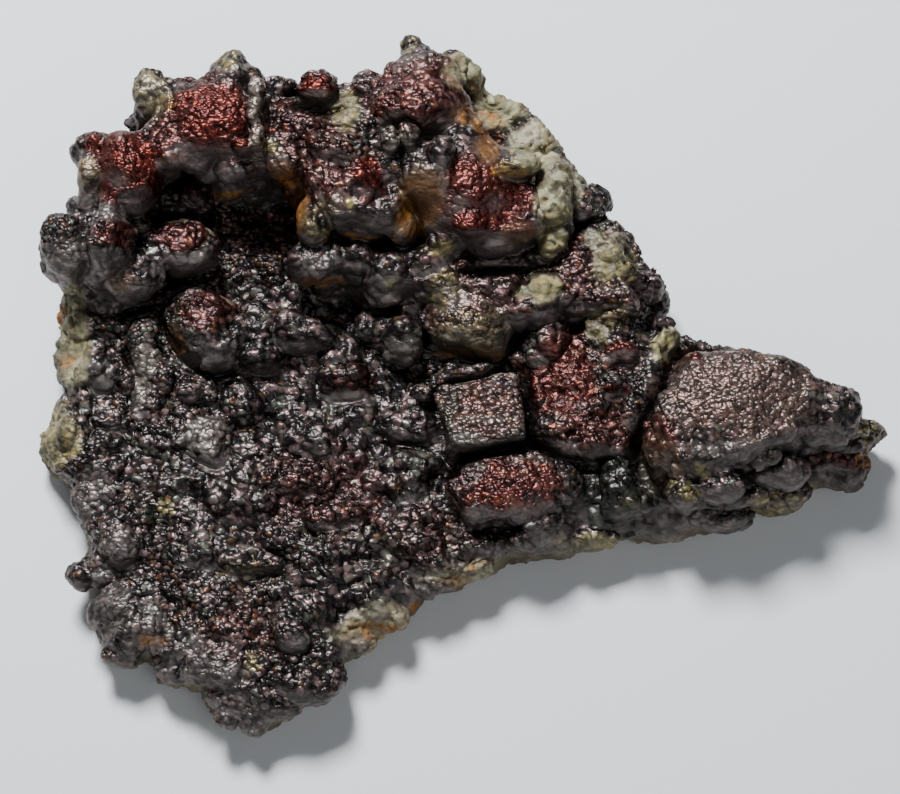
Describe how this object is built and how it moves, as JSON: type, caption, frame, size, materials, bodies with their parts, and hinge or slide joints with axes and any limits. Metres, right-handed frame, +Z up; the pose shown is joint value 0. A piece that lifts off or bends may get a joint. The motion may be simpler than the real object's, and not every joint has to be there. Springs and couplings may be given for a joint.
{
  "type": "goethite specimen",
  "caption": "Botryoidal goethite hand specimen: a rock slab under bead-covered lobes, with a raised shelf, a hollow below it and a plated tail; a display piece that lies flat.",
  "frame": {"origin": "middle of the bounding box seen from above, at the height of the flat underside", "axes": "+X along the specimen's length towards its thin tail, +Y towards the raised shelf at the back, +Z up"},
  "size_m": [0.1684, 0.1392, 0.0396],
  "materials": {
    "goethite_crust": "lustrous dark red-brown bead-covered crust, smooth grey-brown flanks, dull ochre and olive where broken"
  },
  "bodies": {
    "root": {"goethite": "goethite_crust"}
  },
  "joints": []
}
